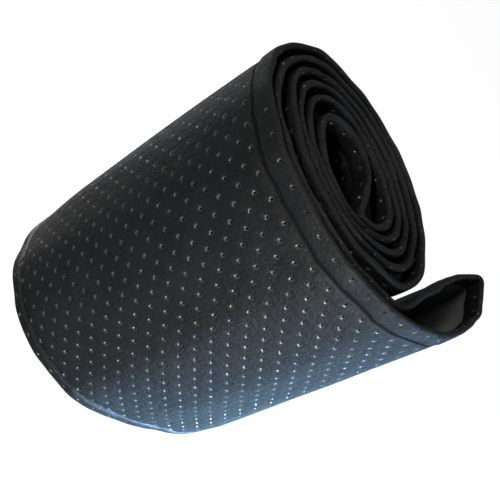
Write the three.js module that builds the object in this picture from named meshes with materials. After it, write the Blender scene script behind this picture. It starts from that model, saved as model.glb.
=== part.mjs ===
// A leather steering wheel cover: one closed ring of perforated leather with a folded hem along
// both edges. It is pressed flat into two layers and rolled up, and the last of it sticks out
// as an open loop. Millimetres. The roll stands on its end, with its axis along +Z.
// The front, -Y, is the side that the free loop is led around.
import * as THREE from 'three';

// Leather strip
const STRIP_WIDTH = 95;
const LEATHER_THICKNESS = 1.1;
const HEM_THICKNESS = 1.8;
const HEM_DEPTH = 5;
const HEM_TIP_FLAT = 0.9;
const HEM_ROUNDING = 0.9;
const SEAM_GROOVE_WIDTH = 1;
const SEAM_GROOVE_DEPTH = 0.2;

// Roll, without its loose loop
const ROLL_WIDTH = 60.7;
const ROLL_DEPTH = 56.4;

// Open space between neighbouring layers, from the outermost inward, on the roll's four sides
const GAPS_FRONT = [0.35, 3.8, 0.35, 0.35, 0.35];
const GAPS_LEFT = [1.3, 1.2, 1.3, 1.7, 3.1];
const GAPS_BACK = [1.8, 2.2, 1.8, 1.6, 1.8];
const GAPS_RIGHT = [2.4, 1.5, 1.4, 1.1];
const TURNS = 3;

// Where the layers cross those sides, from the roll's middle
const FRONT_SHIFT_OUTER = 2;
const FRONT_SHIFT_INNER = 5;
const BACK_SHIFT = -2;
const LEFT_SHIFT = -0.5;
const RIGHT_SHIFT = 0.5;

// Folds at the two ends of the flattened ring
const FOLD_CLEARANCE = 0.2;
const INNER_FOLD_FROM_MIDDLE = 11.2;
const INNER_FOLD_GAP = 0.45;
const INNER_FOLD_ENTRY_DEG = -58;
const INNER_FOLD_EXIT_DEG = -160;
const INNER_SWEEP = 0.32;
const INNER_SAG = 0.2;
const FLAP_LEAN = 2.6;
const FLAP_RISE = 7;
const FLAP_TOP_PULL = 5.5;

// Loose loop, from the roll's middle to its outermost faces
const LOOP_REACH = 50.2;
const LOOP_TOP = 38.4;
const LOOP_WIDEST = 23.5;
const LOOP_TIP_INSET = 5.8;
const LOOP_TIP_ENTRY_DEG = 135;
const LOOP_TIP_EXIT_DEG = 18;
const LOOP_PART_DEG = 35;
const LOOP_NECK = 15.4;
const LOOP_NECK_HEIGHT = 4.5;
const LOOP_PART_PULL = 6;
const LOOP_NECK_LEAN = 1.3;
const LOOP_NECK_PULL = 9;
const LOOP_WALL_LEAN = 1.7;
const LOOP_WALL_RISE = 12;
const LOOP_SHOULDER = 5.6;

// Steps along one quarter turn, one bend and one fold
const QUARTER_STEPS = 8;
const LOOP_STEPS = 12;
const BEND_STEPS = 7;
const FOLD_STEPS = 5;

const half = HEM_THICKNESS / 2;
const foldRadius = half + FOLD_CLEARANCE;
const radians = THREE.MathUtils.degToRad;
const vector = (x, y) => new THREE.Vector2(x, y);

// Distance of a layer's middle from the roll's middle, with layer 0 the outermost
function layerDistance(edge, gaps, layer) {
  const passed = gaps.slice(0, layer).reduce((sum, gap) => sum + gap + HEM_THICKNESS, 0);
  return edge - half - passed;
}

const frontX = (layer) => (layer < 2 ? FRONT_SHIFT_OUTER : FRONT_SHIFT_INNER);
const front = (layer) => vector(frontX(layer), -layerDistance(ROLL_DEPTH / 2, GAPS_FRONT, layer));
const left = (layer) => vector(-layerDistance(ROLL_WIDTH / 2, GAPS_LEFT, layer), LEFT_SHIFT);
const back = (layer) => vector(BACK_SHIFT, layerDistance(ROLL_DEPTH / 2, GAPS_BACK, layer));
const right = (layer) => vector(layerDistance(ROLL_WIDTH / 2, GAPS_RIGHT, layer), RIGHT_SHIFT);

// A quarter ellipse from one crossing to the next, level at front and back, upright at the sides
function quarter(from, to, fromIsLevel) {
  const centre = fromIsLevel ? vector(from.x, to.y) : vector(to.x, from.y);
  const along = from.clone().sub(centre);
  const across = to.clone().sub(centre);
  const points = [];
  for (let step = 0; step < QUARTER_STEPS; step += 1) {
    const angle = (step / QUARTER_STEPS) * (Math.PI / 2);
    const point = centre.clone();
    point.addScaledVector(along, Math.cos(angle)).addScaledVector(across, Math.sin(angle));
    points.push(point);
  }
  return points;
}

// One trip of a layer around the roll, from the front by the left and back to the right
function turnInward(layer, nextLayer) {
  const points = [
    ...quarter(front(layer), left(layer), true),
    ...quarter(left(layer), back(layer), false),
    ...quarter(back(layer), right(layer), true),
  ];
  return nextLayer === null ? points : [...points, ...quarter(right(layer), front(nextLayer), false)];
}

function turnOutward(layer, outerLayer) {
  const points = [
    ...quarter(back(layer), left(layer), true),
    ...quarter(left(layer), front(layer), false),
  ];
  if (outerLayer === null) {
    return points;
  }
  return [
    ...points,
    ...quarter(front(layer), right(outerLayer), true),
    ...quarter(right(outerLayer), back(outerLayer), false),
  ];
}

function bend(start, startPull, endPull, end, steps) {
  return new THREE.CubicBezierCurve(start, startPull, endPull, end).getPoints(steps).slice(0, -1);
}

function fold(centre, entryDeg, exitDeg) {
  const arc = new THREE.EllipseCurve(
    centre.x, centre.y, foldRadius, foldRadius, radians(entryDeg), radians(exitDeg), true);
  return arc.getPoints(FOLD_STEPS);
}

// Height of the innermost layer's ellipse above the front, right of its lowest point
function innermostFront(x) {
  const layer = 2 * TURNS - 1;
  const lowest = front(layer);
  const side = right(layer - 2);
  const share = (x - lowest.x) / (side.x - lowest.x);
  return side.y - (side.y - lowest.y) * Math.sqrt(1 - share * share);
}

// The ring's inner end: the outer layer's last stretch, a sharp fold and the flap across the core
function innerEnd() {
  const outerLayer = 2 * TURNS - 2;
  const start = right(outerLayer);
  const spacing = HEM_THICKNESS + INNER_FOLD_GAP + foldRadius;
  const foldX = INNER_FOLD_FROM_MIDDLE;
  const centre = vector(foldX, innermostFront(foldX + foldRadius) + spacing);
  const turn = fold(centre, INNER_FOLD_ENTRY_DEG, INNER_FOLD_EXIT_DEG);
  const entry = turn[0];
  const exit = turn[turn.length - 1];
  const drop = start.y - entry.y;
  const flapEnd = back(outerLayer + 1);
  const entryPull = vector(entry.x + INNER_SWEEP * drop, entry.y + INNER_SAG * drop);
  return [
    ...bend(start, vector(start.x, start.y - drop / 2), entryPull, entry, BEND_STEPS),
    ...turn.slice(0, -1),
    ...bend(exit, vector(exit.x - FLAP_LEAN, exit.y + FLAP_RISE),
      vector(flapEnd.x + FLAP_TOP_PULL, flapEnd.y), flapEnd, BEND_STEPS + 1),
  ];
}

// The loose loop's outer wall, from its tip around the front of the roll
function loopOuterWall(tipExit) {
  const widest = vector(LOOP_REACH - half, LOOP_WIDEST);
  const drop = tipExit.y - widest.y;
  const lean = Math.tan(radians(LOOP_TIP_EXIT_DEG));
  const lowest = front(0);
  const pull = drop / 3;
  const points = bend(tipExit, vector(tipExit.x + pull * lean, tipExit.y - pull),
    vector(widest.x, widest.y + pull), widest, FOLD_STEPS);
  const arc = new THREE.EllipseCurve(lowest.x, widest.y, widest.x - lowest.x, widest.y - lowest.y,
    0, -Math.PI / 2, true);
  return [...points, ...arc.getPoints(LOOP_STEPS).slice(0, -1)];
}

// The loose loop's inner wall: it follows the outer wall around the front, parts from it and
// rises beside the roll to the tip
function loopInnerWall(tipEntry) {
  const lowest = front(1);
  const reach = LOOP_REACH - half - HEM_THICKNESS - GAPS_FRONT[0] - lowest.x;
  const rise = LOOP_WIDEST - lowest.y;
  const partAngle = -Math.PI / 2 + radians(LOOP_PART_DEG);
  const along = new THREE.EllipseCurve(lowest.x, LOOP_WIDEST, reach, rise, -Math.PI / 2, partAngle, false);
  const parting = along.getPoint(1);
  const heading = along.getTangent(1);
  const neck = vector(LOOP_REACH - half - LOOP_NECK, LOOP_NECK_HEIGHT);
  return [
    ...along.getPoints(BEND_STEPS).slice(0, -1),
    ...bend(parting, parting.clone().addScaledVector(heading, LOOP_PART_PULL),
      vector(neck.x - LOOP_NECK_LEAN, neck.y - LOOP_NECK_PULL), neck, BEND_STEPS),
    ...bend(neck, vector(neck.x + LOOP_WALL_LEAN, neck.y + LOOP_WALL_RISE),
      vector(tipEntry.x - LOOP_SHOULDER, tipEntry.y - LOOP_SHOULDER), tipEntry, BEND_STEPS + 2),
  ];
}

// Middle line of the closed ring, once around
function ringLine() {
  const tipCentre = vector(LOOP_REACH - LOOP_TIP_INSET, LOOP_TOP - half - foldRadius);
  const tip = fold(tipCentre, LOOP_TIP_ENTRY_DEG, LOOP_TIP_EXIT_DEG);
  const points = [...tip.slice(0, -1), ...loopOuterWall(tip[tip.length - 1])];
  for (let turn = 0; turn < TURNS; turn += 1) {
    const isLast = turn === TURNS - 1;
    points.push(...turnInward(2 * turn, isLast ? null : 2 * turn + 2));
  }
  points.push(...innerEnd());
  for (let turn = TURNS - 1; turn >= 0; turn -= 1) {
    points.push(...turnOutward(2 * turn + 1, turn === 0 ? null : 2 * turn - 1));
  }
  points.push(...loopInnerWall(tip[0]));
  return points;
}

// One face of the strip from its lower edge to its upper edge, as height and half thickness
function stripFace() {
  const seamBottom = LEATHER_THICKNESS / 2 - SEAM_GROOVE_DEPTH;
  const edge = [
    [0, HEM_TIP_FLAT / 2],
    [HEM_ROUNDING * 0.3, half - HEM_ROUNDING * 0.18],
    [HEM_ROUNDING, half],
    [HEM_DEPTH - SEAM_GROOVE_WIDTH / 2, half],
    [HEM_DEPTH, seamBottom],
    [HEM_DEPTH + SEAM_GROOVE_WIDTH / 2, LEATHER_THICKNESS / 2],
  ];
  const upper = edge.map(([height, thickness]) => [STRIP_WIDTH - height, thickness]).reverse();
  return [...edge, ...upper];
}

// Sideways direction at each point of a closed line, lengthened where the line bends
function sideways(line) {
  return line.map((point, index) => {
    const before = line[(index + line.length - 1) % line.length];
    const after = line[(index + 1) % line.length];
    const arriving = point.clone().sub(before).normalize();
    const leaving = after.clone().sub(point).normalize();
    const direction = arriving.clone().add(leaving).normalize();
    const stretch = 1 / direction.dot(leaving);
    return vector(direction.y, -direction.x).multiplyScalar(stretch);
  });
}

// The strip's section carried once around the closed line
function ringGeometry() {
  const line = ringLine();
  const sides = sideways(line);
  const face = stripFace();
  const section = [...face, ...face.map(([height, thickness]) => [height, -thickness]).reverse()];
  const positions = [];
  line.forEach((point, index) => {
    section.forEach(([height, offset]) => {
      positions.push(point.x + sides[index].x * offset, point.y + sides[index].y * offset, height);
    });
  });
  const triangles = [];
  for (let step = 0; step < line.length; step += 1) {
    const here = step * section.length;
    const next = ((step + 1) % line.length) * section.length;
    for (let corner = 0; corner < section.length; corner += 1) {
      const other = (corner + 1) % section.length;
      triangles.push(here + corner, next + corner, next + other);
      triangles.push(here + corner, next + other, here + other);
    }
  }
  const geometry = new THREE.BufferGeometry();
  geometry.setAttribute('position', new THREE.Float32BufferAttribute(positions, 3));
  geometry.setIndex(triangles);
  geometry.computeVertexNormals();
  return geometry;
}

function leatherRing() {
  const blackLeather = new THREE.MeshStandardMaterial({ color: 0x242426, roughness: 0.55, metalness: 0 });
  const ring = new THREE.Mesh(ringGeometry(), blackLeather);
  ring.name = 'leather_ring';
  ring.geometry.computeBoundingBox();
  const middle = ring.geometry.boundingBox.getCenter(new THREE.Vector3());
  ring.position.set(-middle.x, -middle.y, 0);
  return ring;
}

const cover = new THREE.Group();
cover.add(leatherRing());

export default cover;
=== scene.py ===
# A rolled-up leather steering wheel cover, standing on its end, seen from its front and above.
# Metres, in the part's frame: +Z along the roll, -Y the front, +X the side of the loose loop.
import math

import bpy
import numpy as np
from mathutils import Matrix, Vector


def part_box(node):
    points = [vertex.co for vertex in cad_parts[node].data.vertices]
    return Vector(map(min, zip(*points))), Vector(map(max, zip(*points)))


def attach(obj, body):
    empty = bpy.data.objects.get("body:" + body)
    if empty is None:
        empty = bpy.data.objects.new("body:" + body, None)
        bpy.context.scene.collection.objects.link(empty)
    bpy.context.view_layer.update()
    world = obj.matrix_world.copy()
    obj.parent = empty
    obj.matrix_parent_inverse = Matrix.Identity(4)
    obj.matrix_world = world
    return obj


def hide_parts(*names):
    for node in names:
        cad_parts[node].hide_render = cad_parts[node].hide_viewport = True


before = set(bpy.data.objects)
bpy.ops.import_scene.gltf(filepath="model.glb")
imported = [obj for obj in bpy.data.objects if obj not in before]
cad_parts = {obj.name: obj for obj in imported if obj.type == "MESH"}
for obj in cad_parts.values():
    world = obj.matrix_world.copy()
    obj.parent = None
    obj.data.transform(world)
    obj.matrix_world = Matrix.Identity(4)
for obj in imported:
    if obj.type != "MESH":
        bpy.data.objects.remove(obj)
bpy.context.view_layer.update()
MM = 0.001

# Leather strip, in millimetres as all the sizes of the roll below
STRIP_WIDTH = 95
LEATHER_THICKNESS = 1.1
HEM_THICKNESS = 1.8

# Roll, without its loose loop
ROLL_WIDTH = 60.7
ROLL_DEPTH = 56.4
GAPS_FRONT = [0.35, 3.8, 0.35, 0.35, 0.35]
GAPS_LEFT = [1.3, 1.2, 1.3, 1.7, 3.1]
GAPS_BACK = [1.8, 2.2, 1.8, 1.6, 1.8]
GAPS_RIGHT = [2.4, 1.5, 1.4, 1.1]
TURNS = 3
FRONT_SHIFT_OUTER = 2
FRONT_SHIFT_INNER = 5
BACK_SHIFT = -2
LEFT_SHIFT = -0.5
RIGHT_SHIFT = 0.5

# Folds at the two ends of the flattened ring
FOLD_CLEARANCE = 0.2
INNER_FOLD_FROM_MIDDLE = 11.2
INNER_FOLD_GAP = 0.45
INNER_FOLD_ENTRY_DEG = -58
INNER_FOLD_EXIT_DEG = -160
INNER_SWEEP = 0.32
INNER_SAG = 0.2
FLAP_LEAN = 2.6
FLAP_RISE = 7
FLAP_TOP_PULL = 5.5

# Loose loop, from the roll's middle to its outermost faces
LOOP_REACH = 50.2
LOOP_TOP = 38.4
LOOP_WIDEST = 23.5
LOOP_TIP_INSET = 5.8
LOOP_TIP_ENTRY_DEG = 135
LOOP_TIP_EXIT_DEG = 18
LOOP_PART_DEG = 35
LOOP_NECK = 15.4
LOOP_NECK_HEIGHT = 4.5
LOOP_PART_PULL = 6
LOOP_NECK_LEAN = 1.3
LOOP_NECK_PULL = 9
LOOP_WALL_LEAN = 1.7
LOOP_WALL_RISE = 12
LOOP_SHOULDER = 5.6

# The same strip as it was sewn: its seams lie a little off the even hem depth
UPPER_SEAM = 89.3
LOWER_SEAM = 4.1
SEAM_DIP = 0.58
NEEDLE_DIP = 0.34
SEAM_REACH = 0.42
NEEDLE_REACH = 0.8
PUCKER_REACH = 2.2
HEM_BLEND = (0.2, 2)
HEM_PLUMPNESS = 0.96
UPPER_EDGE_DROP = 0.15
LOWER_EDGE_LIFT = 0.25

# Perforation: rows of holes along the strip, every second row moved on by half a pitch
HOLES_AROUND = 159
ROW_PITCH = 2.83
TOP_ROW = 87.25
ROWS = 30
HOLE_RADIUS = 0.27
HEM_HOLE_RADIUS = 0.24
LIP_REACH = 2.6
LIP_DIP = 0.03
HOLE_DIP = 0.36
HOLE_DEPTH = 0.95
HOLE_SIDES = 8
HEM_HOLE_SIDES = 6
HOLE_ROOM = 0.45

# Holes between the layers are plainer; the rest have this much open air in front of them
PLAIN_REACH = 1.6
PLAIN_SIDES = 5
OPEN_AIR = 4
OPEN_AIR_SLACK = 0.5

# Where the inner fold is looked for, in shares of the ring's length, and how sharp a bend it is
INNER_FOLD_SPAN = (0.3, 0.7)
FOLD_SHARPNESS = 0.6
TINY_LENGTH = 1e-6

# Columns of the mesh to one hole, and how a pair of them is cut up where the strip is folded
COLUMNS_TO_A_HOLE = 4
FOLD_REACH = 3.4
FOLD_PIECES = 6
BACK_ROWS = 10
SMOOTH_DEG = 42

# Sewing thread: three narrow columns of the mesh to one stitch
COLUMNS_TO_A_STITCH = 3
THREAD_RADIUS = 0.18
THREAD_SIDES = 6
THREAD_LIFT = 0.6
THREAD_SLANT = 0.16

# Camera of the photograph, its spot given from the roll's middle
CAMERA_FILM = 36
CAMERA_SPOT = (4.2, -154.4, 162.7)
CAMERA_RIGHT = (0.4685, 0.4880, 0.7365)
CAMERA_DOWN = (0.8833, -0.2739, -0.3804)
CAMERA_LENS = 52.93
CAMERA_SHIFT = (-0.0029, 0.0039)

half = HEM_THICKNESS / 2
fold_radius = half + FOLD_CLEARANCE
STEPS = 40


def point(x, y):
    return np.array([x, y], dtype=float)


def layer_distance(edge, gaps, layer):
    return edge - half - sum(gap + HEM_THICKNESS for gap in gaps[:layer])


def front(layer):
    x = FRONT_SHIFT_OUTER if layer < 2 else FRONT_SHIFT_INNER
    return point(x, -layer_distance(ROLL_DEPTH / 2, GAPS_FRONT, layer))


def left(layer):
    return point(-layer_distance(ROLL_WIDTH / 2, GAPS_LEFT, layer), LEFT_SHIFT)


def back(layer):
    return point(BACK_SHIFT, layer_distance(ROLL_DEPTH / 2, GAPS_BACK, layer))


def right(layer):
    return point(layer_distance(ROLL_WIDTH / 2, GAPS_RIGHT, layer), RIGHT_SHIFT)


def arc(centre, along, across, start, end, steps=STEPS):
    angles = np.linspace(start, end, steps + 1)[:-1, None]
    return centre + along * np.cos(angles) + across * np.sin(angles)


def quarter(start, end, start_is_level):
    """A quarter ellipse, level at the front and back of the roll and upright at its sides."""
    centre = point(start[0], end[1]) if start_is_level else point(end[0], start[1])
    return arc(centre, start - centre, end - centre, 0, math.pi / 2)


def bend(start, start_pull, end_pull, end, steps=STEPS):
    t = np.linspace(0, 1, steps + 1)[:-1, None]
    return (
        start * (1 - t) ** 3
        + 3 * start_pull * t * (1 - t) ** 2
        + 3 * end_pull * t**2 * (1 - t)
        + end * t**3
    )


def fold(centre, entry_deg, exit_deg):
    reach = point(fold_radius, 0)
    rise = point(0, fold_radius)
    leave = math.radians(exit_deg)
    turn = arc(centre, reach, rise, math.radians(entry_deg), leave)
    last = centre + fold_radius * point(math.cos(leave), math.sin(leave))
    return np.vstack([turn, last])


def turn_inward(layer, next_layer):
    parts = [
        quarter(front(layer), left(layer), True),
        quarter(left(layer), back(layer), False),
        quarter(back(layer), right(layer), True),
    ]
    if next_layer is not None:
        parts.append(quarter(right(layer), front(next_layer), False))
    return np.vstack(parts)


def turn_outward(layer, outer_layer):
    parts = [
        quarter(back(layer), left(layer), True),
        quarter(left(layer), front(layer), False),
    ]
    if outer_layer is not None:
        parts.append(quarter(front(layer), right(outer_layer), True))
        parts.append(quarter(right(outer_layer), back(outer_layer), False))
    return np.vstack(parts)


def inner_end():
    """The outer layer's last stretch, a sharp fold and the flap across the core."""
    start = right(2 * TURNS - 2)
    lowest = front(2 * TURNS - 1)
    side = right(2 * TURNS - 3)
    fold_x = INNER_FOLD_FROM_MIDDLE
    share = (fold_x + fold_radius - lowest[0]) / (side[0] - lowest[0])
    bed = side[1] - (side[1] - lowest[1]) * math.sqrt(1 - share**2)
    centre = point(fold_x, bed + HEM_THICKNESS + INNER_FOLD_GAP + fold_radius)
    turn = fold(centre, INNER_FOLD_ENTRY_DEG, INNER_FOLD_EXIT_DEG)
    entry, leave = turn[0], turn[-1]
    drop = start[1] - entry[1]
    flap_end = back(2 * TURNS - 1)
    coming = bend(
        start,
        start - point(0, drop / 2),
        entry + point(INNER_SWEEP * drop, INNER_SAG * drop),
        entry,
    )
    flap = bend(
        leave, leave + point(-FLAP_LEAN, FLAP_RISE), flap_end + point(FLAP_TOP_PULL, 0), flap_end
    )
    return np.vstack([coming, turn[:-1], flap])


def loop_outer_wall(tip_exit):
    widest = point(LOOP_REACH - half, LOOP_WIDEST)
    pull = (tip_exit[1] - widest[1]) / 3
    lean = math.tan(math.radians(LOOP_TIP_EXIT_DEG))
    over = tip_exit + point(pull * lean, -pull)
    shoulder = bend(tip_exit, over, widest + point(0, pull), widest)
    lowest = front(0)
    centre = point(lowest[0], widest[1])
    round_wall = arc(centre, widest - centre, lowest - centre, 0, math.pi / 2, 2 * STEPS)
    return np.vstack([shoulder, round_wall])


def loop_inner_wall(tip_entry):
    lowest = front(1)
    centre = point(lowest[0], LOOP_WIDEST)
    reach = point(LOOP_REACH - half - HEM_THICKNESS - GAPS_FRONT[0] - lowest[0], 0)
    rise = point(0, LOOP_WIDEST - lowest[1])
    part = -math.pi / 2 + math.radians(LOOP_PART_DEG)
    along = arc(centre, reach, rise, -math.pi / 2, part)
    parting = centre + reach * math.cos(part) + rise * math.sin(part)
    heading = rise * math.cos(part) - reach * math.sin(part)
    heading /= np.linalg.norm(heading)
    neck = point(LOOP_REACH - half - LOOP_NECK, LOOP_NECK_HEIGHT)
    neck_bend = bend(
        parting,
        parting + LOOP_PART_PULL * heading,
        neck - point(LOOP_NECK_LEAN, LOOP_NECK_PULL),
        neck,
    )
    wall = bend(
        neck, neck + point(LOOP_WALL_LEAN, LOOP_WALL_RISE), tip_entry - LOOP_SHOULDER, tip_entry
    )
    return np.vstack([along, neck_bend, wall])


def ring_line():
    """Middle line of the closed ring, once around, starting at the loose loop's tip."""
    tip_centre = point(LOOP_REACH - LOOP_TIP_INSET, LOOP_TOP - half - fold_radius)
    tip = fold(tip_centre, LOOP_TIP_ENTRY_DEG, LOOP_TIP_EXIT_DEG)
    parts = [tip[:-1], loop_outer_wall(tip[-1])]
    for turn in range(TURNS):
        parts.append(turn_inward(2 * turn, None if turn == TURNS - 1 else 2 * turn + 2))
    parts.append(inner_end())
    for turn in reversed(range(TURNS)):
        parts.append(turn_outward(2 * turn + 1, None if turn == 0 else 2 * turn - 1))
    parts.append(loop_inner_wall(tip[0]))
    return np.vstack(parts)


class Route:
    """The ring's middle line by length along it, with the direction towards the ring's inside."""

    def __init__(self):
        line = ring_line()
        closed = np.vstack([line, line[:1]])
        lengths = np.linalg.norm(np.diff(closed, axis=0), axis=1)
        distance = np.concatenate([[0], np.cumsum(lengths)])
        self.length = distance[-1]
        self.distance = distance
        self.points = closed
        heading = np.roll(line, -1, axis=0) - np.roll(line, 1, axis=0)
        heading /= np.linalg.norm(heading, axis=1)[:, None]
        inward = np.stack([heading[:, 1], -heading[:, 0]], axis=1)
        self.inward = np.vstack([inward, inward[:1]])
        low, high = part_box("leather_ring")
        reach = [line + inward * half, line - inward * half]
        lowest = np.min([side.min(axis=0) for side in reach], axis=0)
        highest = np.max([side.max(axis=0) for side in reach], axis=0)
        middle = point((low.x + high.x) / 2, (low.y + high.y) / 2) / MM
        self.shift = middle - (lowest + highest) / 2

        turned = np.linalg.norm(np.diff(self.inward, axis=0), axis=1)
        sharp = turned / np.maximum(lengths, TINY_LENGTH) > FOLD_SHARPNESS / fold_radius
        start, end = INNER_FOLD_SPAN
        inside = (distance[:-1] > start * self.length) & (distance[:-1] < end * self.length)
        self.inner_fold = distance[:-1][inside & sharp].mean()

    def plan(self, around, offset):
        """Places from the roll's middle, by length around the ring and offset to its inside."""
        around = np.mod(around, self.length)
        base = [np.interp(around, self.distance, self.points[:, axis]) for axis in (0, 1)]
        side = [np.interp(around, self.distance, self.inward[:, axis]) for axis in (0, 1)]
        norm = np.hypot(side[0], side[1])
        return base[0] + side[0] / norm * offset, base[1] + side[1] / norm * offset


route = Route()
leather_half = LEATHER_THICKNESS / 2


def blend_in(value, low, high):
    """0 below low, 1 above high, smooth between."""
    share = np.clip((value - low) / (high - low), 0, 1)
    return share * share * (3 - 2 * share)


def near(value, place, reach):
    return np.exp(-(((value - place) / reach) ** 2))


def ripple(around, waves):
    """Uneven hand-made waviness, the same after every trip around the ring."""
    total = np.zeros_like(around, dtype=float)
    for count, phase, size in waves:
        total = total + size * np.sin(2 * math.pi * count * around / route.length + phase)
    return total


UPPER_EDGE_WAVES = [(19, 0.4, 0.14), (47, 1.9, 0.12), (103, 4.0, 0.07)]
LOWER_EDGE_WAVES = [(17, 2.4, 0.1), (53, 0.2, 0.08), (97, 3.1, 0.05)]
SEAM_WAVES = [(37, 2.2, 0.16), (83, 0.3, 0.12), (131, 5.1, 0.1)]
PLUMP_WAVES = [(29, 0.7, 0.07), (67, 2.9, 0.06), (127, 1.3, 0.05)]
FACE_WAVES = [(31, 1.1, 0.06), (71, 3.3, 0.05)]

# How far the loose loop's wall leans out at heights up the strip, and the distances to the
# right of the roll's middle between which that comes in
LOOP_LEAN_HEIGHTS = [0, 4, 12, 33, 57, 73, 89, 95]
LOOP_LEAN = [-0.2, 0.9, 1.5, 1.1, 0.7, 0.1, -0.2, -0.9]
LOOP_SIDE = (37, 46)

# The same for the roll's left side
LEFT_HEIGHTS = [0, 25, 95]
LEFT_LEAN = [-0.3, 0.3, 0.6]
LEFT_SIDE = (16, 28)

# Slow creases that move neighbouring layers together: direction, wave in mm, phase, size
CREASES = [
    ((0.8, 0.6, 0.05), 19, 0.3, 0.16),
    ((-0.5, 0.85, 0.12), 13, 2.1, 0.12),
    ((0.2, -1.0, 0.3), 31, 4.4, 0.14),
]

# Places where the soft walls bulge or give way: place from the roll's middle, way, reach, size,
# and the height at which it is strongest with the length over which it fades
CORNERS = [
    ((-26.0, 16.5), (-0.84, 0.54), 6.5, 1.0, 95, 16),
    ((29.0, -8.5), (0.94, -0.34), 6.5, 1.4, 95, 300),
    ((29.5, 5.0), (0.95, 0.3), 9, 0.6, 95, 40),
    ((-13.0, 27.0), (-0.3, 0.95), 8, 0.5, 95, 60),
    ((44.0, 37.0), (-0.5, 0.86), 5, 1.3, 95, 40),
    ((44.0, 2.0), (0.9, -0.4), 14, 0.5, 75, 40),
    ((37.0, -12.0), (-0.75, 0.65), 17, 2.5, 0, 19),
    ((-28.0, -12.0), (0.88, 0.46), 12, 1.2, 0, 14),
]


def settle(x, y, height):
    """Moves points given from the roll's middle the way the soft ring has settled."""
    on_loop = blend_in(x, *LOOP_SIDE)
    moved_x = x + on_loop * np.interp(height, LOOP_LEAN_HEIGHTS, LOOP_LEAN)
    moved_y = y.copy()
    at_left = blend_in(-x, *LEFT_SIDE)
    moved_x = moved_x - at_left * np.interp(height, LEFT_HEIGHTS, LEFT_LEAN)
    for (corner_x, corner_y), (out_x, out_y), reach, size, strongest, fade in CORNERS:
        bulge = size * np.exp(-((x - corner_x) ** 2 + (y - corner_y) ** 2) / reach**2)
        bulge = bulge * near(height, strongest, fade)
        moved_x = moved_x + out_x * bulge
        moved_y = moved_y + out_y * bulge
    for (a, b, c), wave, phase, size in CREASES:
        push = size * np.sin((a * x + b * y + c * height) * 2 * math.pi / wave + phase)
        moved_x = moved_x + push * b
        moved_y = moved_y - push * a
    return moved_x, moved_y


def skin(around, offset, height):
    """A point of the soft strip, from where it lies on the even one."""
    around = np.asarray(around, dtype=float)
    offset = np.asarray(offset, dtype=float) + np.zeros_like(around)
    height = np.asarray(height, dtype=float) + np.zeros_like(around)
    side = np.sign(offset)
    start, full = HEM_BLEND
    upper_hem = blend_in(height, UPPER_SEAM + start, UPPER_SEAM + full)
    lower_hem = blend_in(-height, -LOWER_SEAM + start, -LOWER_SEAM + full)
    at_seam = near(height, UPPER_SEAM, NEEDLE_REACH) + near(height, LOWER_SEAM, NEEDLE_REACH)
    by_seam = near(height, UPPER_SEAM, PUCKER_REACH) + near(height, LOWER_SEAM, PUCKER_REACH)
    stitch = route.length / HOLES_AROUND / COLUMNS_TO_A_HOLE * COLUMNS_TO_A_STITCH
    needle = 0.5 + 0.5 * np.cos(2 * math.pi * around / stitch)
    offset = offset * (1 + (upper_hem + lower_hem) * ripple(around, PLUMP_WAVES))
    offset = offset - side * at_seam * NEEDLE_DIP * needle**2
    offset = offset + ripple(around, FACE_WAVES)
    raised = by_seam * ripple(around, SEAM_WAVES)
    raised = raised + upper_hem * (ripple(around, UPPER_EDGE_WAVES) - UPPER_EDGE_DROP)
    lifted = lower_hem * (LOWER_EDGE_LIFT + np.maximum(ripple(around, LOWER_EDGE_WAVES), 0))
    x, y = route.plan(around, offset)
    x, y = settle(x, y, height)
    spot = np.stack([x + route.shift[0], y + route.shift[1], height + raised + lifted], axis=-1)
    return spot * MM


# A hem's section: distance from its seam and share of its thickness, then the same with the
# depth below its edge, then the turn over the edge in degrees
HEM_RISE = [(0.38, 0.42), (0.8, 0.84), (1.4, 0.98)]
HEM_FACE = [(2.75, 1.05), (1.0, 1.02)]
CROWN_TURNS = [0, 22, 45, 68, 90, 106, 152, 180]


def hem_section(depth):
    """Depth below the edge and offset, from the seam on one face over the edge to the other."""
    crown = half * HEM_PLUMPNESS
    face = [(depth - rise, -crown * share) for rise, share in HEM_RISE]
    face += [(below, -crown * share) for below, share in HEM_FACE]
    back = [(below, -offset) for below, offset in face[::-1]]
    turns = [math.radians(turn) for turn in CROWN_TURNS]
    over = [(crown - crown * math.sin(turn), -crown * math.cos(turn)) for turn in turns]
    return face + over + back


# Strips of that section that carry a row of holes, and which cells each row starts from
FACE_STRIP = len(HEM_RISE) + 1
CREST_STRIP = len(HEM_RISE) + len(HEM_FACE) + 6
BACK_STRIP = len(HEM_RISE) + len(HEM_FACE) + 9
HEM_HOLES = {FACE_STRIP: 0, CREST_STRIP: 1, BACK_STRIP: 0}


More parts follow.
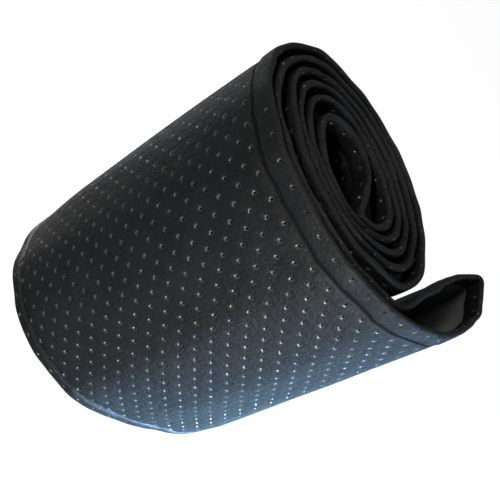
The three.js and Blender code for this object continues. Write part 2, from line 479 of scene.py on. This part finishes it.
class RingMesh:
    """The leather ring's skin as rows of points around it, joined and perforated."""

    def __init__(self):
        self.columns = HOLES_AROUND * COLUMNS_TO_A_HOLE
        self.width = route.length / self.columns
        self.vertices = []
        self.faces = []
        self.surfaces = []
        self.count = 0
        self.stations, self.cells = self.lay_out()
        self.in_the_open = self.find_open()
        self.patterns = {}

    def lay_out(self):
        """Stations around the ring, and cells of two columns, or of one where it is folded."""
        tip_fold = math.radians(LOOP_TIP_ENTRY_DEG - LOOP_TIP_EXIT_DEG) * fold_radius / 2
        folds = (tip_fold, route.inner_fold)
        stations, cells = [], []
        for pair in range(self.columns // 2):
            middle = (2 * pair + 1) * self.width
            gaps = [abs((middle - place + route.length / 2) % route.length - route.length / 2)
                    for place in folds]
            folded = min(gaps) < FOLD_REACH * self.width
            first = len(stations)
            if folded:
                for piece in range(FOLD_PIECES):
                    stations.append((2 * pair + 2 * piece / FOLD_PIECES) * self.width)
                    cells.append((first + piece, None, first + piece + 1, None))
            else:
                stations.extend([2 * pair * self.width, middle])
                cells.append((first, first + 1, first + 2, pair))
        last = cells[-1]
        cells[-1] = (last[0], last[1], 0, last[3])
        return np.array(stations), cells

    def find_open(self):
        """Cells whose finished face has nothing of the roll close in front of it."""
        middles = [self.stations[cell[0]] + self.width for cell in self.cells]
        x, y = route.plan(np.array(middles), -half - OPEN_AIR)
        gaps = np.hypot(x[:, None] - route.points[:, 0], y[:, None] - route.points[:, 1])
        return gaps.min(axis=1) > OPEN_AIR - OPEN_AIR_SLACK

    def row(self, offset, height, fine=True):
        """Adds a row of points; a coarse row leaves out the middle of each wide cell."""
        used = np.ones(len(self.stations), dtype=bool)
        if not fine:
            used[[middle for _, middle, _, _ in self.cells if middle is not None]] = False
        numbers = np.full(len(self.stations), -1)
        numbers[used] = self.count + np.arange(used.sum())
        self.vertices.append(skin(self.stations[used], offset, height))
        self.count += int(used.sum())
        return {"numbers": numbers.tolist(), "offset": offset, "height": height}

    def add(self, face, surface):
        self.faces.append(face)
        self.surfaces.append(surface)

    def outline(self, lower, upper, cell):
        left, middle, right, _ = cell
        corners = [lower["numbers"][left], upper["numbers"][left]]
        places = [(0, 0), (0, 1)]
        if middle is not None and upper["numbers"][middle] >= 0:
            corners.append(upper["numbers"][middle])
            places.append((0.5, 1))
        corners += [upper["numbers"][right], lower["numbers"][right]]
        places += [(1, 1), (1, 0)]
        if middle is not None and lower["numbers"][middle] >= 0:
            corners.append(lower["numbers"][middle])
            places.append((0.5, 0))
        return corners, places

    def join(self, lower, upper, surface):
        for cell in self.cells:
            self.close(lower, upper, cell, surface)

    def close(self, lower, upper, cell, surface):
        corners, _ = self.outline(lower, upper, cell)
        if len(corners) == 6:
            left_low, left_high, top, right_high, right_low, bottom = corners
            self.add((left_low, left_high, top, bottom), surface)
            self.add((bottom, top, right_high, right_low), surface)
        else:
            self.add(tuple(corners), surface)

    def perforate(self, lower, upper, parity, radius, surface, middle=None):
        """Joins two rows with a hole in every second cell, pressed in from the outside."""
        low = np.array([lower["offset"], lower["height"]])
        high = np.array([upper["offset"], upper["height"]])
        onward = (high - low) / np.linalg.norm(high - low)
        centre = (low + high) / 2 if middle is None else np.array([low[0], middle])
        for cell, is_open in zip(self.cells, self.in_the_open):
            pair = cell[3]
            if pair is None or pair % 2 != parity:
                self.close(lower, upper, cell, surface)
            else:
                detailed = is_open or middle is None
                self.hole(lower, upper, cell, centre, onward, radius, surface, detailed)

    def hole(self, lower, upper, cell, centre, onward, radius, surface, detailed):
        """A punched hole with its lip drawn in; between the layers it is only a plain one."""
        around = self.stations[cell[0]] + self.width
        inward = np.array([onward[1], -onward[0]])
        below, above = [(row["offset"], row["height"]) for row in (lower, upper)]
        room = HOLE_ROOM * math.dist(below, above)
        rings = [(LIP_REACH, LIP_DIP), (1, HOLE_DIP)] if detailed else [(PLAIN_REACH, LIP_DIP)]
        sides = HOLE_SIDES if radius == HOLE_RADIUS else HEM_HOLE_SIDES
        sides = sides if detailed else PLAIN_SIDES
        turns = (np.arange(sides) + 0.5) * 2 * math.pi / sides
        first = self.count
        for share, dip in rings:
            along = min(radius * share, room * min(1, share / LIP_REACH)) * np.sin(turns)
            rim = centre + along[:, None] * onward + dip * inward
            spots = around + radius * share * np.cos(turns)
            self.vertices.append(skin(spots, rim[:, 0], rim[:, 1]))
        bottom = centre + HOLE_DEPTH * inward
        self.vertices.append(skin(np.array([around]), bottom[0], bottom[1]))
        self.count += sides * len(rings) + 1
        corners, places = self.outline(lower, upper, cell)
        corners = corners + [first + side for side in range(sides)]
        for face in self.pattern(tuple(places), sides):
            self.add(tuple(corners[k] for k in face), surface)
        inner = first + sides * (len(rings) - 1)
        for side in range(sides):
            after = (side + 1) % sides
            if detailed:
                self.add((first + after, first + side, inner + side, inner + after), "lip")
            self.add((inner + after, inner + side, inner + sides), "cut")

    def pattern(self, places, sides):
        """Triangles between a cell's outline and the rim of the hole in it."""
        if (places, sides) in self.patterns:
            return self.patterns[places, sides]
        count = len(places)
        outer = [math.atan2(y - 0.5, x - 0.5) % (2 * math.pi) for x, y in places]
        inner = [(side + 0.5) * 2 * math.pi / sides for side in range(sides)]
        ring_out = sorted(range(count), key=lambda k: outer[k])
        faces = []
        a, b = 0, 0
        while a < count or b < sides:
            out_here, in_here = ring_out[a % count], b % sides
            out_next, in_next = ring_out[(a + 1) % count], (b + 1) % sides
            out_turn = outer[out_next] + (2 * math.pi if a + 1 >= count else 0)
            in_turn = inner[in_next] + (2 * math.pi if b + 1 >= sides else 0)
            if b >= sides or (a < count and out_turn < in_turn):
                faces.append((out_next, out_here, count + in_here))
                a += 1
            else:
                faces.append((out_here, count + in_here, count + in_next))
                b += 1
        self.patterns[places, sides] = faces
        return faces

    def build(self, name, materials):
        mesh = bpy.data.meshes.new(name)
        mesh.from_pydata(np.vstack(self.vertices).tolist(), [], self.faces)
        order = list(materials)
        for material in materials.values():
            mesh.materials.append(material)
        slots = [order.index(surface) for surface in self.surfaces]
        mesh.polygons.foreach_set("material_index", slots)
        mesh.update()
        return add_piece(name, mesh)


def add_piece(name, mesh):
    piece = bpy.data.objects.new(name, mesh)
    bpy.context.collection.objects.link(piece)
    bpy.ops.object.select_all(action="DESELECT")
    piece.select_set(True)
    bpy.context.view_layer.objects.active = piece
    bpy.ops.object.shade_smooth_by_angle(angle=math.radians(SMOOTH_DEG))
    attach(piece, "root")
    return piece


def hem(ring, previous, places):
    """Carries the skin over a hem, with its rows of holes, and gives the last row."""
    for index, (offset, height) in enumerate(places):
        row = ring.row(offset, height)
        if index in HEM_HOLES:
            ring.perforate(previous, row, HEM_HOLES[index], HEM_HOLE_RADIUS, "grain")
        else:
            ring.join(previous, row, "cut" if index == 0 else "grain")
        previous = row
    return previous


def leather_ring():
    ring = RingMesh()
    groove = leather_half - SEAM_DIP

    # Finished face, from the lower seam up
    first = ring.row(-groove, LOWER_SEAM)
    previous = ring.row(-leather_half, LOWER_SEAM + SEAM_REACH, fine=False)
    ring.join(first, previous, "cut")
    for number in reversed(range(ROWS)):
        middle = TOP_ROW - number * ROW_PITCH
        top = UPPER_SEAM - SEAM_REACH if number == 0 else middle + ROW_PITCH / 2
        row = ring.row(-leather_half, top, fine=False)
        ring.perforate(previous, row, number % 2, HOLE_RADIUS, "grain", middle)
        previous = row
    row = ring.row(-groove, UPPER_SEAM)
    ring.join(previous, row, "cut")

    # Over the upper edge, down the bare back, and over the lower edge to the start
    depth = STRIP_WIDTH - UPPER_SEAM
    over = [(offset, STRIP_WIDTH - below) for below, offset in hem_section(depth)]
    previous = hem(ring, row, over)
    row = ring.row(groove, UPPER_SEAM)
    ring.join(previous, row, "grain")
    previous = row
    for height in np.linspace(UPPER_SEAM - SEAM_REACH, LOWER_SEAM + SEAM_REACH, BACK_ROWS):
        row = ring.row(leather_half, height, fine=False)
        ring.join(previous, row, "suede")
        previous = row
    row = ring.row(groove, LOWER_SEAM)
    ring.join(previous, row, "suede")
    previous = hem(ring, row, [(-offset, below) for below, offset in hem_section(LOWER_SEAM)])
    ring.join(previous, first, "grain")

    piece = ring.build("leather_ring_skin", leather_materials())
    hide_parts("leather_ring")
    return piece


# One stitch from needle hole to needle hole: share of its length, and rise above the crease
STITCH_SHAPE = [
    (0.06, -0.32), (0.16, -0.05), (0.35, 0.07),
    (0.65, 0.07), (0.84, -0.05), (0.94, -0.32),
]


def stitch(vertices, faces, number, pitch, seam, side):
    """Adds one stitch: a short rounded length of thread, closed at both ends."""
    turns = np.arange(THREAD_SIDES) * 2 * math.pi / THREAD_SIDES
    first = len(vertices) * THREAD_SIDES
    for share, rise in STITCH_SHAPE:
        around = np.full(THREAD_SIDES, (number + share) * pitch)
        needle = 0.5 + 0.5 * math.cos(2 * math.pi * share)
        level = leather_half - SEAM_DIP + NEEDLE_DIP * needle**2 * THREAD_LIFT + rise
        offset = side * (level + THREAD_RADIUS * np.sin(turns))
        height = seam + THREAD_SLANT * (share - 0.5) + THREAD_RADIUS * np.cos(turns) * side
        vertices.append(skin(around, offset, height))
    last = first + (len(STITCH_SHAPE) - 1) * THREAD_SIDES
    for here in range(first, last, THREAD_SIDES):
        further = here + THREAD_SIDES
        for corner in range(THREAD_SIDES):
            after = (corner + 1) % THREAD_SIDES
            faces.append((here + corner, here + after, further + after, further + corner))
    faces.append(tuple(first + corner for corner in reversed(range(THREAD_SIDES))))
    faces.append(tuple(last + corner for corner in range(THREAD_SIDES)))


def seam_stitches():
    """Both seams' thread on both faces."""
    stitches = HOLES_AROUND * COLUMNS_TO_A_HOLE // COLUMNS_TO_A_STITCH
    pitch = route.length / stitches
    vertices, faces = [], []
    for seam in (LOWER_SEAM, UPPER_SEAM):
        for side in (-1, 1):
            for number in range(stitches):
                stitch(vertices, faces, number, pitch, seam, side)
    mesh = bpy.data.meshes.new("seam_stitches")
    mesh.from_pydata(np.vstack(vertices).tolist(), [], faces)
    mesh.materials.append(thread_material())
    return add_piece("seam_stitches", mesh)


def plain_material(name, color, roughness, specular):
    material = bpy.data.materials.new(name)
    material.use_nodes = True
    shader = material.node_tree.nodes["Principled BSDF"]
    shader.inputs["Base Color"].default_value = (*color, 1)
    shader.inputs["Roughness"].default_value = roughness
    shader.inputs["Specular IOR Level"].default_value = specular
    return material, shader


def add_node(material, kind, **settings):
    node = material.node_tree.nodes.new(kind)
    for key, value in settings.items():
        setattr(node, key, value)
    return node


def link(material, source, target):
    material.node_tree.links.new(source, target)


def noise(material, coordinates, size_mm, detail=3):
    texture = add_node(material, "ShaderNodeTexNoise")
    texture.inputs["Scale"].default_value = 1 / (size_mm * MM)
    texture.inputs["Detail"].default_value = detail
    link(material, coordinates.outputs["Object"], texture.inputs["Vector"])
    return texture.outputs["Fac"]


def ranged(material, value, given, wanted):
    fit = add_node(material, "ShaderNodeMapRange")
    for name, number in zip(("From Min", "From Max", "To Min", "To Max"), (*given, *wanted)):
        fit.inputs[name].default_value = number
    link(material, value, fit.inputs["Value"])
    return fit.outputs["Result"]


def mixed(material, value, dark, light):
    mix = add_node(material, "ShaderNodeMix", data_type="RGBA")
    mix.inputs["A"].default_value = (*dark, 1)
    mix.inputs["B"].default_value = (*light, 1)
    link(material, value, mix.inputs["Factor"])
    return mix.outputs["Result"]


def bumped(material, height, distance_mm, strength, below=None):
    bump = add_node(material, "ShaderNodeBump")
    bump.inputs["Distance"].default_value = distance_mm * MM
    bump.inputs["Strength"].default_value = strength
    link(material, height, bump.inputs["Height"])
    if below is not None:
        link(material, below, bump.inputs["Normal"])
    return bump.outputs["Normal"]


def finished_leather():
    """Black grain leather: pebbles under a slow unevenness, duller and glossier by patches."""
    material, shader = plain_material("black_leather", (0.009, 0.009, 0.010), 0.5, 0.27)
    coordinates = add_node(material, "ShaderNodeTexCoord")
    patches = noise(material, coordinates, 7)
    tone = ranged(material, patches, (0.35, 0.65), (0, 1))
    link(material, mixed(material, tone, (0.006, 0.006, 0.006), (0.010, 0.010, 0.010)),
         shader.inputs["Base Color"])
    fine = noise(material, coordinates, 1.3, 2)
    link(material, ranged(material, fine, (0.3, 0.7), (0.52, 0.68)), shader.inputs["Roughness"])
    pebbles = add_node(material, "ShaderNodeTexVoronoi", feature="F1")
    pebbles.inputs["Scale"].default_value = 1 / (1.1 * MM)
    pebbles.inputs["Randomness"].default_value = 0.9
    link(material, coordinates.outputs["Object"], pebbles.inputs["Vector"])
    slow = bumped(material, noise(material, coordinates, 5), 0.35, 0.5)
    grain = bumped(material, pebbles.outputs["Distance"], 0.14, 0.8, slow)
    link(material, bumped(material, noise(material, coordinates, 0.45), 0.19, 1, grain),
         shader.inputs["Normal"])
    return material


def bare_back():
    """The leather's undyed-side nap: dull, near black, with a short fibre."""
    material, shader = plain_material("leather_back", (0.03, 0.03, 0.03), 0.9, 0.2)
    shader.inputs["Sheen Weight"].default_value = 0.1
    coordinates = add_node(material, "ShaderNodeTexCoord")
    fibre = noise(material, coordinates, 0.6, 4)
    link(material, mixed(material, fibre, (0.055, 0.055, 0.055), (0.13, 0.13, 0.126)),
         shader.inputs["Base Color"])
    link(material, bumped(material, fibre, 0.15, 0.8), shader.inputs["Normal"])
    return material


def cut_edge():
    """The walls of the holes and the creases at the seams: rough leather out of the light."""
    material, shader = plain_material("hole_wall", (0.008, 0.008, 0.008), 0.7, 0.06)
    coordinates = add_node(material, "ShaderNodeTexCoord")
    fibre = noise(material, coordinates, 0.4)
    link(material, mixed(material, fibre, (0.005, 0.005, 0.005), (0.016, 0.016, 0.016)),
         shader.inputs["Base Color"])
    return material


def pressed_lip():
    """The lips of the holes, pressed smooth by the punch, so they glint."""
    material, shader = plain_material("hole_lip", (0.03, 0.03, 0.03), 0.4, 0.8)
    coordinates = add_node(material, "ShaderNodeTexCoord")
    worn = noise(material, coordinates, 2.5)
    link(material, mixed(material, worn, (0.02, 0.02, 0.02), (0.05, 0.05, 0.05)),
         shader.inputs["Base Color"])
    link(material, ranged(material, worn, (0.3, 0.7), (0.26, 0.36)), shader.inputs["Roughness"])
    return material


def leather_materials():
    return {
        "grain": finished_leather(),
        "suede": bare_back(),
        "cut": cut_edge(),
        "lip": pressed_lip(),
    }


def thread_material():
    """Black sewing thread with its twist."""
    material, shader = plain_material("black_thread", (0.004, 0.004, 0.004), 0.7, 0.12)
    coordinates = add_node(material, "ShaderNodeTexCoord")
    ply = noise(material, coordinates, 0.25)
    link(material, mixed(material, ply, (0.002, 0.002, 0.002), (0.007, 0.007, 0.007)),
         shader.inputs["Base Color"])
    link(material, bumped(material, ply, 0.08, 0.8), shader.inputs["Normal"])
    return material


def camera():
    data = bpy.data.cameras.new("camera")
    data.sensor_width = CAMERA_FILM
    data.lens = CAMERA_LENS
    data.shift_x, data.shift_y = CAMERA_SHIFT
    data.clip_start = 0.01
    cam = bpy.data.objects.new("camera", data)
    bpy.context.collection.objects.link(cam)
    rightward = np.array(CAMERA_RIGHT) / np.linalg.norm(CAMERA_RIGHT)
    down = np.array(CAMERA_DOWN) - rightward * np.dot(CAMERA_DOWN, rightward)
    down /= np.linalg.norm(down)
    onward = np.cross(rightward, down)
    turn = Matrix(np.stack([rightward, -down, -onward], axis=1).tolist())
    spot = np.array(CAMERA_SPOT) + [*route.shift, 0]
    cam.matrix_world = Matrix.Translation((spot * MM).tolist()) @ turn.to_4x4()
    bpy.context.scene.camera = cam


def lamp(name, spot, aim, size, power, color=(1, 1, 1), spread_deg=180):
    """A soft round lamp, its place and aim given in metres from the middle of the base."""
    data = bpy.data.lights.new(name, "AREA")
    data.shape = "DISK"
    data.size = size
    data.energy = power
    data.color = color
    data.spread = math.radians(spread_deg)
    light = bpy.data.objects.new(name, data)
    bpy.context.collection.objects.link(light)
    light.location = spot
    light.rotation_mode = "QUATERNION"
    light.rotation_quaternion = (Vector(spot) - Vector(aim)).to_track_quat("Z", "Y")


# The floor under the roll, in metres, and the strengths of its white and of the room's light
FLOOR_SIZE = 6
FLOOR_GAP = 0.0003
FLOOR_GREY = 0.2
PAPER_STRENGTH = 0.93
ROOM_STRENGTH = 0.13


def pale_floor():
    """A floor that the camera sees as white paper with a faint shadow on it."""
    bpy.ops.object.select_all(action="DESELECT")
    bpy.ops.mesh.primitive_plane_add(size=FLOOR_SIZE, location=(0, 0, -FLOOR_GAP))
    floor = bpy.context.object
    floor.name = "floor"
    material, shader = plain_material("pale_floor", [FLOOR_GREY] * 3, 0.9, 0)
    paper = add_node(material, "ShaderNodeEmission")
    paper.inputs["Strength"].default_value = PAPER_STRENGTH
    seen = add_node(material, "ShaderNodeLightPath")
    faint = add_node(material, "ShaderNodeAddShader")
    mix = add_node(material, "ShaderNodeMixShader")
    link(material, shader.outputs["BSDF"], faint.inputs[0])
    link(material, paper.outputs["Emission"], faint.inputs[1])
    link(material, seen.outputs["Is Camera Ray"], mix.inputs["Fac"])
    link(material, shader.outputs["BSDF"], mix.inputs[1])
    link(material, faint.outputs["Shader"], mix.inputs[2])
    output = material.node_tree.nodes["Material Output"]
    link(material, mix.outputs["Shader"], output.inputs["Surface"])
    floor.data.materials.append(material)


def studio():
    scene = bpy.context.scene
    scene.view_settings.view_transform = "Standard"
    world = bpy.data.worlds.new("studio")
    scene.world = world
    world.use_nodes = True
    nodes = world.node_tree.nodes
    links = world.node_tree.links
    room = nodes["Background"]
    room.inputs["Color"].default_value = (1, 1, 1, 1)
    room.inputs["Strength"].default_value = ROOM_STRENGTH
    white = nodes.new("ShaderNodeBackground")
    white.inputs["Color"].default_value = (1, 1, 1, 1)
    path = nodes.new("ShaderNodeLightPath")
    mix = nodes.new("ShaderNodeMixShader")
    links.new(path.outputs["Is Camera Ray"], mix.inputs["Fac"])
    links.new(room.outputs["Background"], mix.inputs[1])
    links.new(white.outputs["Background"], mix.inputs[2])
    links.new(mix.outputs["Shader"], nodes["World Output"].inputs["Surface"])
    pale_floor()
    middle = (0, 0, 0.05)
    lamp("key", (0.55, -0.42, 0.1), middle, size=0.2, power=5.4, color=(1, 0.99, 0.97))
    lamp("blue_side", (0.46, 0.12, 0.05), (0.03, 0, -0.13), size=0.16, power=6,
         color=(0.34, 0.64, 1), spread_deg=42)
    lamp("left_low", (-0.45, 0.2, 0.05), (0, 0, -0.14), size=0.16, power=1.4, spread_deg=42)
    lamp("window", (-0.26, -0.58, 0.33), middle, size=0.1, power=1.5)
    lamp("overhead", (-0.1, 0.1, 0.75), middle, size=0.2, power=1.1)


camera()
ring = leather_ring()
stitches = seam_stitches()
studio()
